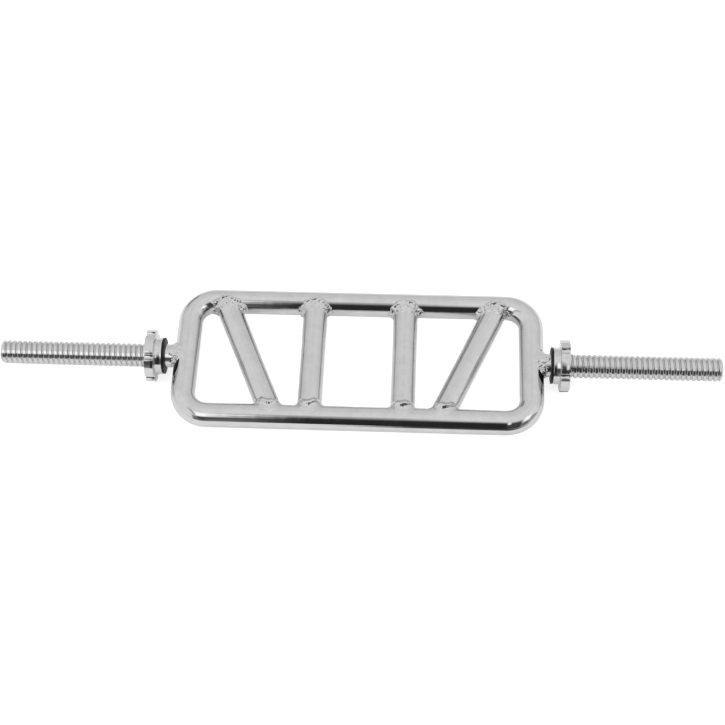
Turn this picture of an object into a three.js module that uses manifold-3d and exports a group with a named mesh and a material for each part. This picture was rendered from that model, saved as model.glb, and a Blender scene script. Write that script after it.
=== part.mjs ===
import * as THREE from 'three';
import { mergeVertices } from 'three/addons/utils/BufferGeometryUtils.js';
import Module from 'manifold-3d';

const wasm = await Module();
wasm.setup();

// A triceps bar: a flat loop of bent tube with four grips across it and a
// threaded sleeve on each side, each sleeve with a screwed star collar.
// Millimetres. X runs along the bar, Y from the near rail to the far rail, and
// Z is up. The origin is the middle of the bar, on the axis of the sleeves.

// The bar as a whole
const TOTAL_LENGTH = 864;

// The frame loop: one tube, bent at four corners
const FRAME_LENGTH = 414;
const FRAME_WIDTH = 160;
const BEND_RADIUS = 31;
const TUBE_DIAMETER = 29.2;
const TUBE_WALL = 2.5;
const VENT_DIAMETER = 9;

// The handles: two square to the rails, two that lean outwards to the far rail
const HANDLE_DIAMETER = 29.2;
const HANDLE_WALL = 2.5;
const INNER_HANDLE_SPACING = 110;
const NEAR_HANDLE_PITCH = 43;
const FAR_HANDLE_SETBACK = 41;

// The threaded sleeves, at the size over the thread
const SLEEVE_DIAMETER = 28.5;
const SLEEVE_END_CHAMFER = 2.5;
const NECK_LENGTH = 8;
const THREAD_PITCH = 6.35;

// The rubber ring that each collar presses against the plates
const RING_DIAMETER = 44;
const RING_THICKNESS = 2.4;
const RING_ROUNDING = 1;
const SPIGOT_DIAMETER = 36;
const SPIGOT_LENGTH = 2.5;

// The star collar: a hub and a flange of broad lobes parted by scallops
const HUB_DIAMETER = 44;
const HUB_LENGTH = 8.5;
const HUB_CHAMFER = 0.6;
const STAR_DIAMETER = 62.4;
const STAR_THICKNESS = 10.8;
const STAR_CHAMFER = 1.4;
const STAR_LOBES = 6;
const SCALLOP_RADIUS = 4.6;
const SCALLOP_DEPTH = 4;
const COUNTERSINK = 1.5;
const LEFT_STAR_TURN_DEGREES = 26;
const RIGHT_STAR_TURN_DEGREES = -5;
const LEFT_BACKED_OFF_TURNS = 0.45;

// The weld fillets round every joint of two tubes. Each reaches along its tube,
// further at the crown than at the flanks, spreads and climbs on the tube that
// it sits on, and is fuller the nearer its share comes to one
const NEAR_WELD = {
  flankLeg: 5,
  crownLeg: 13,
  spread: 5,
  climb: 1.5,
  fill: 3,
  bulge: 1,
  fullnessShare: 0,
  seatSteps: 2,
};
const FAR_WELD = {
  flankLeg: 5,
  crownLeg: 12,
  spread: 6,
  climb: 1.5,
  fill: 4.5,
  bulge: 1.2,
  fullnessShare: 0.6,
  seatSteps: 3,
};
const SLEEVE_WELD = {
  flankLeg: 5,
  crownLeg: 9,
  spread: 6,
  climb: 3,
  fill: 2,
  bulge: 0.6,
  fullnessShare: 0.2,
  seatSteps: 2,
};

// Clearances
const SEAT_GAP = 0.3;
const BORE_CLEARANCE = 0.3;
const CUT_OVERRUN = 1;

// Facets
const TUBE_SIDES = 32;
const BORE_SIDES = 20;
const BEND_STEPS = 6;
const TURNED_SIDES = 48;
const SCALLOP_SIDES = 16;
const ROUNDING_STEPS = 3;
const WELD_STEPS = 36;
const SEAT_HALVINGS = 24;
const MERGE_TOLERANCE = 1e-4;

// Places worked out from the sizes
const TUBE_RADIUS = TUBE_DIAMETER / 2;
const HANDLE_RADIUS = HANDLE_DIAMETER / 2;
const SLEEVE_RADIUS = SLEEVE_DIAMETER / 2;
const SIDE_X = FRAME_LENGTH / 2;
const RAIL_Y = FRAME_WIDTH / 2;
const INNER_HANDLE_X = INNER_HANDLE_SPACING / 2;
const NEAR_HANDLE_X = INNER_HANDLE_X + NEAR_HANDLE_PITCH;
const FAR_HANDLE_X = SIDE_X - FAR_HANDLE_SETBACK;
const RING_X = SIDE_X + TUBE_RADIUS + NECK_LENGTH;
const COLLAR_X = RING_X + RING_THICKNESS + SEAT_GAP;
const UP = new THREE.Vector3(0, 0, 1);

const chrome = { color: 0xc9cbce, metalness: 1, roughness: 0.1 };
const weldChrome = { color: 0xbfc1c4, metalness: 1, roughness: 0.24 };
const threadChrome = { color: 0xbcbec1, metalness: 1, roughness: 0.16 };
const rubber = { color: 0x141415, metalness: 0, roughness: 0.7 };

// Solids and meshes

function dropThinTriangles(index) {
  const kept = [];
  for (let i = 0; i < index.length; i += 3) {
    const [a, b, c] = [index[i], index[i + 1], index[i + 2]];
    if (a !== b && b !== c && c !== a) kept.push(a, b, c);
  }
  return kept;
}

function toSolid(geometry) {
  const bare = geometry.clone();
  bare.deleteAttribute('normal');
  bare.deleteAttribute('uv');
  const merged = mergeVertices(bare, MERGE_TOLERANCE);
  return new wasm.Manifold(new wasm.Mesh({
    numProp: 3,
    vertProperties: new Float32Array(merged.attributes.position.array),
    triVerts: new Uint32Array(dropThinTriangles(merged.index.array)),
  }));
}

function toGeometry(solid) {
  const { vertProperties, triVerts } = solid.getMesh();
  const geometry = new THREE.BufferGeometry();
  geometry.setAttribute('position', new THREE.Float32BufferAttribute(vertProperties, 3));
  geometry.setIndex(Array.from(triVerts));
  geometry.computeVertexNormals();
  return geometry;
}

function mesh(name, geometry, finish) {
  const made = new THREE.Mesh(geometry, new THREE.MeshStandardMaterial(finish));
  made.name = name;
  return made;
}

// A closed ring of sections, each a list of points that runs anticlockwise to
// someone who looks along the ring
function loftedRing(sections) {
  const count = sections.length;
  const sides = sections[0].length;
  const index = [];
  for (let i = 0; i < count; i++) {
    const next = (i + 1) % count;
    for (let j = 0; j < sides; j++) {
      const beside = (j + 1) % sides;
      const [a, b] = [i * sides + j, next * sides + j];
      const [c, d] = [next * sides + beside, i * sides + beside];
      index.push(a, b, c, a, c, d);
    }
  }
  const geometry = new THREE.BufferGeometry().setFromPoints(sections.flat());
  geometry.setIndex(index);
  geometry.computeVertexNormals();
  return geometry;
}

// A turned piece: a profile of [radius, place along X], spun about the X axis
function turned(profile, sides = TURNED_SIDES) {
  const points = profile.map(([radius, along]) => new THREE.Vector2(radius, along));
  return new THREE.LatheGeometry(points, sides).rotateZ(-Math.PI / 2);
}

// A quarter round from one profile direction to the next, about a centre
function rounding([radius, along], size, fromDegrees, toDegrees) {
  return Array.from({ length: ROUNDING_STEPS + 1 }, (_, step) => {
    const share = step / ROUNDING_STEPS;
    const turn = THREE.MathUtils.degToRad(fromDegrees + (toDegrees - fromDegrees) * share);
    return [radius + size * Math.cos(turn), along + size * Math.sin(turn)];
  });
}

// The frame loop

// A tube of one radius along the loop's centre line, a ring of points at each
// step of the four bends
function loopTube(radius, sides) {
  const sections = [];
  for (let corner = 0; corner < 4; corner++) {
    const start = corner * Math.PI / 2;
    const right = corner === 0 || corner === 3;
    const far = corner < 2;
    const centre = new THREE.Vector3(
      (SIDE_X - BEND_RADIUS) * (right ? 1 : -1),
      (RAIL_Y - BEND_RADIUS) * (far ? 1 : -1),
      0,
    );
    for (let step = 0; step <= BEND_STEPS; step++) {
      const outward = new THREE.Vector3(1, 0, 0)
        .applyAxisAngle(UP, start + step / BEND_STEPS * Math.PI / 2);
      sections.push(Array.from({ length: sides }, (_, side) => {
        const turn = 2 * Math.PI * side / sides;
        return centre.clone()
          .addScaledVector(outward, BEND_RADIUS + radius * Math.cos(turn))
          .addScaledVector(UP, radius * Math.sin(turn));
      }));
    }
  }
  return loftedRing(sections);
}

// How far a point is from the loop's centre line
function distanceFromCentreLine(point) {
  const past = new THREE.Vector2(
    Math.abs(point.x) - (SIDE_X - BEND_RADIUS),
    Math.abs(point.y) - (RAIL_Y - BEND_RADIUS),
  );
  const outside = Math.hypot(Math.max(past.x, 0), Math.max(past.y, 0));
  const inside = Math.min(Math.max(past.x, past.y), 0);
  return Math.hypot(outside + inside - BEND_RADIUS, point.z);
}

const loopOutside = toSolid(loopTube(TUBE_RADIUS, TUBE_SIDES));
const loopWithGap = toSolid(loopTube(TUBE_RADIUS + SEAT_GAP, TUBE_SIDES));

// Where each handle's axis crosses the centre lines of the two rails
function handleLine(side, row) {
  const nearX = row === 'inner' ? INNER_HANDLE_X : NEAR_HANDLE_X;
  const farX = row === 'inner' ? INNER_HANDLE_X : FAR_HANDLE_X;
  const near = new THREE.Vector3(side * nearX, -RAIL_Y, 0);
  const far = new THREE.Vector3(side * farX, RAIL_Y, 0);
  return { near, far };
}

const handles = [
  { name: 'left_outer', ...handleLine(-1, 'outer') },
  { name: 'left_inner', ...handleLine(-1, 'inner') },
  { name: 'right_inner', ...handleLine(1, 'inner') },
  { name: 'right_outer', ...handleLine(1, 'outer') },
];

// A vent through the wall of a rail into the bore of a handle, which lets the
// plating bath drain out of the closed loop
function vent(from, to) {
  const drill = new THREE.CylinderGeometry(
    VENT_DIAMETER / 2, VENT_DIAMETER / 2, TUBE_DIAMETER, BORE_SIDES,
  );
  drill.translate(0, TUBE_DIAMETER / 2, 0);
  const along = to.clone().sub(from).normalize();
  const turn = new THREE.Quaternion().setFromUnitVectors(new THREE.Vector3(0, 1, 0), along);
  drill.applyQuaternion(turn).translate(from.x, from.y, from.z);
  return toSolid(drill);
}

function frameLoop() {
  let solid = loopOutside.subtract(toSolid(loopTube(TUBE_RADIUS - TUBE_WALL, BORE_SIDES)));
  for (const { near, far } of handles) {
    solid = solid.subtract(vent(near, far)).subtract(vent(far, near));
  }
  return mesh('frame_loop', toGeometry(solid), chrome);
}

// The handles

// A length of tube between the centre lines of the rails, coped at both ends to
// saddle the rails
function handle({ name, near, far }) {
  const length = near.distanceTo(far);
  const wall = new THREE.Shape().absarc(0, 0, HANDLE_RADIUS, 0, 2 * Math.PI);
  wall.holes.push(new THREE.Path().absarc(0, 0, HANDLE_RADIUS - HANDLE_WALL, 0, 2 * Math.PI));
  const tube = new THREE.ExtrudeGeometry(wall, {
    depth: length,
    curveSegments: TUBE_SIDES / 2,
    bevelEnabled: false,
  });
  tube.rotateX(-Math.PI / 2).translate(0, -length / 2, 0);

  const place = new THREE.Object3D();
  place.position.copy(near).add(far).divideScalar(2);
  place.rotation.z = -Math.atan2(far.x - near.x, far.y - near.y);
  place.updateMatrix();
  const toPlace = place.matrix.clone().invert();
  const loopThere = loopWithGap.transform(toPlace.toArray());

  const made = mesh(`handle_${name}`, toGeometry(toSolid(tube).subtract(loopThere)), chrome);
  made.position.copy(place.position);
  made.rotation.copy(place.rotation);
  return made;
}

// The welds

// A fillet round the end of a tube that is seated on the frame loop. The tube
// starts at a point on the loop's centre line and runs along a direction; the
// normal points out of the loop's tube towards it, square to the centre line.
function weld(name, start, normal, direction, tubeRadius, bead) {
  const along = direction.clone().normalize();
  const across = UP.clone().cross(along);
  const railway = UP.clone().cross(normal);
  const root = tubeRadius + SEAT_GAP;
  const seat = TUBE_RADIUS + SEAT_GAP;

  // The place on the seat's surface that is furthest out along a ray
  const onSeat = (from, ray) => {
    let [low, high] = [0, 2 * TUBE_DIAMETER];
    for (let halving = 0; halving < SEAT_HALVINGS; halving++) {
      const middle = (low + high) / 2;
      const place = from.clone().addScaledVector(ray, middle);
      [low, high] = distanceFromCentreLine(place) < seat ? [middle, high] : [low, middle];
    }
    return from.clone().addScaledVector(ray, high);
  };

  // A place on the seat, from how far along the tube and round it that is
  const roundSeat = (reach, turn) => onSeat(
    start.clone().addScaledVector(railway, reach),
    normal.clone().multiplyScalar(Math.cos(turn)).addScaledVector(UP, Math.sin(turn)),
  );

  const sections = Array.from({ length: WELD_STEPS }, (_, step) => {
    const turn = 2 * Math.PI * step / WELD_STEPS;
    const [flank, crown] = [Math.cos(turn), Math.sin(turn)];
    const outward = across.clone().multiplyScalar(flank).addScaledVector(UP, crown);
    const corner = onSeat(start.clone().addScaledVector(outward, root), along);
    const leg = THREE.MathUtils.lerp(bead.flankLeg, bead.crownLeg, crown ** 2);
    const top = corner.clone().addScaledVector(along, leg);

    const fromStart = corner.clone().sub(start);
    const reach = fromStart.dot(railway);
    const round = Math.atan2(fromStart.z, fromStart.dot(normal));
    const spread = Math.sign(flank) * Math.sqrt(Math.abs(flank)) * bead.spread;
    const climb = crown * (bead.climb + 2 * Math.abs(flank) * bead.fill) / seat;
    const seated = Array.from({ length: bead.seatSteps }, (_, index) => {
      const share = (index + 1) / bead.seatSteps;
      return roundSeat(reach + spread * share, round + climb * share);
    });

    const facing = normal.clone().multiplyScalar(Math.cos(round))
      .addScaledVector(UP, Math.sin(round)).add(outward).normalize();
    const flat = seated.at(-1).clone().add(top).divideScalar(2);
    const face = corner.clone().lerp(flat, bead.fullnessShare).add(flat).divideScalar(2)
      .addScaledVector(facing, bead.bulge * crown ** 2);
    return [corner, ...seated, face, top];
  });
  return mesh(`weld_${name}`, loftedRing(sections), weldChrome);
}

// The sleeves, rings and collars, along +X from the side tube

function sleeve(name) {
  const end = TOTAL_LENGTH / 2;
  const bar = turned([
    [0, SIDE_X],
    [SLEEVE_RADIUS, SIDE_X],
    [SLEEVE_RADIUS, end - SLEEVE_END_CHAMFER],
    [SLEEVE_RADIUS - SLEEVE_END_CHAMFER, end],
    [0, end],
  ]);
  return mesh(name, toGeometry(toSolid(bar).subtract(loopWithGap)), threadChrome);
}

// A washer with a rounded rim and a spigot that sits in the collar's recess
function clampRing(name, backedOff) {
  const bore = SLEEVE_RADIUS + BORE_CLEARANCE;
  const rim = RING_DIAMETER / 2 - RING_ROUNDING;
  const profile = [
    [bore, 0],
    ...rounding([rim, RING_ROUNDING], RING_ROUNDING, -90, 0),
    ...rounding([rim, RING_THICKNESS - RING_ROUNDING], RING_ROUNDING, 0, 90),
    [SPIGOT_DIAMETER / 2, RING_THICKNESS],
    [SPIGOT_DIAMETER / 2, RING_THICKNESS + SPIGOT_LENGTH],
    [bore, RING_THICKNESS + SPIGOT_LENGTH],
    [bore, 0],
  ];
  const made = mesh(name, turned(profile), rubber);
  made.position.x = RING_X + backedOff;
  return made;
}

// One scallop's cutter, as long as the flange and clear of the hub
function scallop(turn) {
  const fromAxis = STAR_DIAMETER / 2 - SCALLOP_DEPTH + SCALLOP_RADIUS;
  const length = STAR_THICKNESS + CUT_OVERRUN;
  const cutter = new THREE.CylinderGeometry(
    SCALLOP_RADIUS, SCALLOP_RADIUS, length, SCALLOP_SIDES,
  );
  cutter.rotateZ(Math.PI / 2).translate(HUB_LENGTH + length / 2, fromAxis, 0).rotateX(turn);
  return toSolid(cutter);
}

function starCollar(name, turnDegrees, backedOff) {
  const bore = SLEEVE_RADIUS + BORE_CLEARANCE;
  const recess = SPIGOT_DIAMETER / 2 + SEAT_GAP;
  const hub = HUB_DIAMETER / 2;
  const star = STAR_DIAMETER / 2;
  const length = HUB_LENGTH + STAR_THICKNESS;
  let solid = toSolid(turned([
    [bore, SPIGOT_LENGTH],
    [recess, SPIGOT_LENGTH],
    [recess, 0],
    [hub - HUB_CHAMFER, 0],
    [hub, HUB_CHAMFER],
    [hub, HUB_LENGTH],
    [star - STAR_CHAMFER, HUB_LENGTH],
    [star, HUB_LENGTH + STAR_CHAMFER],
    [star, length - STAR_CHAMFER],
    [star - STAR_CHAMFER, length],
    [bore + COUNTERSINK, length],
    [bore, length - COUNTERSINK],
    [bore, SPIGOT_LENGTH],
  ]));
  for (let notch = 0; notch < STAR_LOBES; notch++) {
    solid = solid.subtract(scallop((notch + 1 / 2) * 2 * Math.PI / STAR_LOBES));
  }
  const made = mesh(name, toGeometry(solid), chrome);
  made.position.x = COLLAR_X + backedOff;
  made.rotation.x = THREE.MathUtils.degToRad(turnDegrees);
  return made;
}

// Everything outside one side tube, its collar screwed in or some turns short
// of that. The left end is the right end turned round, so that both threads are
// right-handed.
function barEnd(side, turnDegrees, backedOffTurns = 0) {
  const end = new THREE.Group();
  const start = new THREE.Vector3(SIDE_X, 0, 0);
  const outward = new THREE.Vector3(1, 0, 0);
  const backedOff = backedOffTurns * THREAD_PITCH;
  end.add(
    sleeve(`sleeve_${side}`),
    weld(`sleeve_${side}`, start, outward, outward, SLEEVE_RADIUS, SLEEVE_WELD),
    clampRing(`rubber_ring_${side}`, backedOff),
    starCollar(`star_collar_${side}`, turnDegrees, backedOff),
  );
  if (side === 'left') end.rotation.z = Math.PI;
  return end;
}

// The assembly

const bar = new THREE.Group();
bar.name = 'triceps_bar';
bar.add(frameLoop());
for (const line of handles) {
  const { name, near, far } = line;
  const inward = new THREE.Vector3(0, 1, 0);
  const back = inward.clone().negate();
  bar.add(
    handle(line),
    weld(`${name}_near`, near, inward, far.clone().sub(near), HANDLE_RADIUS, NEAR_WELD),
    weld(`${name}_far`, far, back, near.clone().sub(far), HANDLE_RADIUS, FAR_WELD),
  );
}
bar.add(barEnd('left', LEFT_STAR_TURN_DEGREES, LEFT_BACKED_OFF_TURNS));
bar.add(barEnd('right', RIGHT_STAR_TURN_DEGREES));

export default bar;
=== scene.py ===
"""A chromed triceps bar with a screwed star collar at each end, on a pale floor."""

from __future__ import annotations

import logging
import math
from dataclasses import dataclass, field
from enum import Enum
from typing import Callable, Iterable, Sequence

import bmesh
import bpy
from mathutils import Matrix, Vector, noise


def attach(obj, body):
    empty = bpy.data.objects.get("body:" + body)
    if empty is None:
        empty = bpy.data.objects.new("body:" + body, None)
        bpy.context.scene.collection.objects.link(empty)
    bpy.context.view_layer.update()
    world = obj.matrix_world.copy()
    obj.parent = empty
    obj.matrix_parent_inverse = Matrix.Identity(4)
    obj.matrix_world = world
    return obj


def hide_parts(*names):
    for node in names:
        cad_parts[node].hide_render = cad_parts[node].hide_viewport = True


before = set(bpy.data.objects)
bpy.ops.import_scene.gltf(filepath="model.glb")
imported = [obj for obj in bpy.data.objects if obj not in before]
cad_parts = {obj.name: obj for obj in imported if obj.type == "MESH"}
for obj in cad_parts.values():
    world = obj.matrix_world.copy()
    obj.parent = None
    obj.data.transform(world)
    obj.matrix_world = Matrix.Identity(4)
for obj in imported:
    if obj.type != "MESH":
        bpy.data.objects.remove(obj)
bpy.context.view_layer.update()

log = logging.getLogger("triceps_bar")

MM = 0.001
TURN = 2 * math.pi
HAIR = 1e-7  # the widest gap that a fine merge or a cut closes, in metres
SPARE = 1 * MM  # how far a tool reaches past what it cuts or joins
ROUND_SIDES = 96
Place = tuple[float, float, float]
Piece = bpy.types.Object
Socket = bpy.types.NodeSocket


class Side(Enum):
    """An end of the bar, and which way it lies along X."""

    LEFT = -1
    RIGHT = 1

    @property
    def word(self) -> str:
        """The side's name as the pieces write it."""
        return self.name.lower()


class Rail(Enum):
    """A long rail of the loop, and which way it lies along Y."""

    NEAR = -1
    FAR = 1

    @property
    def word(self) -> str:
        """The rail's name as the pieces write it."""
        return self.name.lower()


class Slot(Enum):
    """The material slots that the record names."""

    FRAME = "frame_chrome"
    HANDLE = "handle_chrome"
    WELD = "weld_chrome"
    SLEEVE = "sleeve_chrome"
    COLLAR = "collar_chrome"
    RUBBER = "ring_rubber"


class Joining(Enum):
    """What happens to a piece that is combined with another."""

    CUT = "DIFFERENCE"
    CROSS = "INTERSECT"
    JOIN = "UNION"


class Sum(Enum):
    """What a Math node does with its inputs."""

    ADD = "ADD"
    SUBTRACT = "SUBTRACT"
    MULTIPLY = "MULTIPLY"
    MULTIPLY_ADD = "MULTIPLY_ADD"
    ARCTAN2 = "ARCTAN2"


# Modelling by hand


def deselect_all() -> None:
    """Leaves no object selected."""
    bpy.ops.object.select_all(action="DESELECT")


def pick(piece: Piece) -> None:
    """Makes one object the only selected and active one.

    Args:
        piece: The object to select.
    """
    deselect_all()
    piece.select_set(True)
    bpy.context.view_layer.objects.active = piece


class Editing:
    """Edit mode on one object, as a with block."""

    def __init__(self, piece: Piece) -> None:
        """Remembers the object.

        Args:
            piece: The object to edit.
        """
        self.piece = piece

    def __enter__(self) -> "Editing":
        """Enters edit mode with nothing selected.

        Returns:
            The editing session.
        """
        pick(self.piece)
        bpy.ops.object.mode_set(mode="EDIT")
        bpy.ops.mesh.select_mode(type="VERT")
        bpy.ops.mesh.select_all(action="DESELECT")
        return self

    def __exit__(self, *_: object) -> None:
        """Goes back to object mode."""
        bpy.ops.object.mode_set(mode="OBJECT")

    def points(self, test: Callable[[Vector], bool]) -> None:
        """Selects the points whose place in the row frame passes a test.

        Args:
            test: Takes a point's place and says whether to select it.
        """
        bpy.ops.mesh.select_mode(type="VERT")
        mesh = bmesh.from_edit_mesh(self.piece.data)
        world = self.piece.matrix_world
        for point in mesh.verts:
            point.select = test(world @ point.co)
        mesh.select_flush_mode()
        bmesh.update_edit_mesh(self.piece.data)

    def extrude(self, shift: Place) -> None:
        """Extrudes what is selected.

        Args:
            shift: How far, in metres.
        """
        bpy.ops.mesh.extrude_region_move(TRANSFORM_OT_translate={"value": shift})

    def spin(self, turn: float, steps: int, centre: Place, axis: Place) -> None:
        """Extrudes what is selected round an axis.

        Args:
            turn: The angle in radians, right-handed about the axis.
            steps: How many steps the turn takes.
            centre: A point on the axis.
            axis: The direction of the axis.
        """
        bpy.ops.mesh.spin(steps=steps, angle=-turn, center=centre, axis=axis)

    def cut(self, at: Place, normal: Place, drop_above: bool = False) -> None:
        """Cuts the whole mesh by a plane.

        Args:
            at: A point on the plane.
            normal: The plane's normal.
            drop_above: Whether what lies on the normal's side goes, and the cut is closed.
        """
        bpy.ops.mesh.select_all(action="SELECT")
        bpy.ops.mesh.bisect(
            plane_co=at, plane_no=normal, clear_outer=drop_above, use_fill=drop_above,
            threshold=HAIR,
        )

    def tidy(self, distance: float = 1e-6) -> None:
        """Merges doubled points and recalculates the faces' normals.

        Blender guesses the outer side, and can guess wrong on a thin ring.

        Args:
            distance: How near two points are to be one, in metres.
        """
        bpy.ops.mesh.select_all(action="SELECT")
        bpy.ops.mesh.remove_doubles(threshold=distance)
        bpy.ops.mesh.normals_make_consistent(inside=False)


def settle(piece: Piece, name: str) -> Piece:
    """Names an object and puts its place, turn and size into its mesh.

    Args:
        piece: The object.
        name: Its new name.

    Returns:
        The same object.
    """
    pick(piece)
    bpy.ops.object.transform_apply(location=True, rotation=True, scale=True)
    piece.name = name
    piece.data.name = name
    return piece


def finish_modifier(piece: Piece, modifier: bpy.types.Modifier) -> None:
    """Applies a modifier to its object.

    Args:
        piece: The object.
        modifier: The modifier on it.
    """
    pick(piece)
    bpy.ops.object.modifier_apply(modifier=modifier.name)


def combine(
    piece: Piece, others: Iterable[Piece], way: Joining, keep: bool = False
) -> None:
    """Cuts, crosses or joins an object with others.

    Args:
        piece: The object that changes.
        others: The objects it is combined with.
        way: What they do to it.
        keep: Whether the others stay in the scene.
    """
    for other in others:
        modifier = piece.modifiers.new(way.name.title(), "BOOLEAN")
        modifier.operation = way.value
        modifier.solver = "EXACT"
        modifier.object = other
        finish_modifier(piece, modifier)
        if not keep:
            bpy.data.objects.remove(other)


def round_edges(piece: Piece, width: float, segments: int, angle: float) -> None:
    """Rounds every edge sharper than an angle.

    Args:
        piece: The object.
        width: The width of the rounding, in metres.
        segments: How many faces go round it.
        angle: The least angle between two faces, in radians.
    """
    modifier = piece.modifiers.new("Rounding", "BEVEL")
    modifier.width = width
    modifier.segments = segments
    modifier.limit_method = "ANGLE"
    modifier.angle_limit = angle
    modifier.use_clamp_overlap = True
    modifier.miter_outer = "MITER_ARC"
    finish_modifier(piece, modifier)


def smooth(piece: Piece, angle: float = math.radians(30)) -> None:
    """Shades an object smooth, apart from its sharp edges.

    Args:
        piece: The object.
        angle: The least angle of a sharp edge, in radians.
    """
    pick(piece)
    bpy.ops.object.shade_smooth_by_angle(angle=angle)


def turned_rod(
    radius: float, start: float, end: float, sides: int = ROUND_SIDES
) -> Piece:
    """Adds a round rod along X.

    Args:
        radius: Its radius, in metres.
        start: Where it starts along X.
        end: Where it ends along X.
        sides: How many sides it has.

    Returns:
        The rod, with its place in its mesh.
    """
    deselect_all()
    bpy.ops.mesh.primitive_cylinder_add(
        vertices=sides,
        radius=radius,
        depth=end - start,
        location=((start + end) / 2, 0, 0),
        rotation=(0, math.pi / 2, 0),
    )
    return settle(bpy.context.object, "rod")


def drawn_profile(points: Sequence[tuple[float, float]]) -> Piece:
    """Draws a line of points above the X axis, one extrusion at a time.

    Args:
        points: Each point's place along X and its height over the axis.

    Returns:
        The line, with its place in its mesh.
    """
    along, height = points[0]
    deselect_all()
    bpy.ops.mesh.primitive_plane_add(size=MM, location=(along, 0, height))
    line = bpy.context.object
    with Editing(line) as edit:
        bpy.ops.mesh.select_all(action="SELECT")
        bpy.ops.mesh.merge(type="CENTER")
        for next_along, next_height in points[1:]:
            edit.extrude((next_along - along, 0, next_height - height))
            along, height = next_along, next_height
    return settle(line, "profile")


def turned_piece(
    points: Sequence[tuple[float, float]], steps: int = ROUND_SIDES
) -> Piece:
    """Spins a closed profile about the X axis.

    Args:
        points: The profile's corners, without the first one again at the end.
        steps: How many steps go round.

    Returns:
        The turned solid.
    """
    piece = drawn_profile([*points, points[0]])
    with Editing(piece) as edit:
        bpy.ops.mesh.select_all(action="SELECT")
        edit.spin(TURN, steps, (0, 0, 0), (1, 0, 0))
        edit.tidy()
    return piece


def half_turn(piece: Piece) -> Piece:
    """Turns an object half round the Z axis, which takes it to the other end of the bar.

    Args:
        piece: The object.

    Returns:
        The same object, with its turn in its mesh.
    """
    piece.matrix_world = Matrix.Rotation(math.pi, 4, "Z")
    return settle(piece, piece.name)


def half_turned_copy(piece: Piece, name: str) -> Piece:
    """Copies an object, mesh and all, and turns the copy half round the Z axis.

    Args:
        piece: The object at the right end.
        name: The name of the copy at the left end.

    Returns:
        The copy, with its turn in its mesh.
    """
    pick(piece)
    bpy.ops.object.duplicate(linked=False)
    copy = bpy.context.object
    copy.name = name
    return half_turn(copy)


# Finishes


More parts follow.
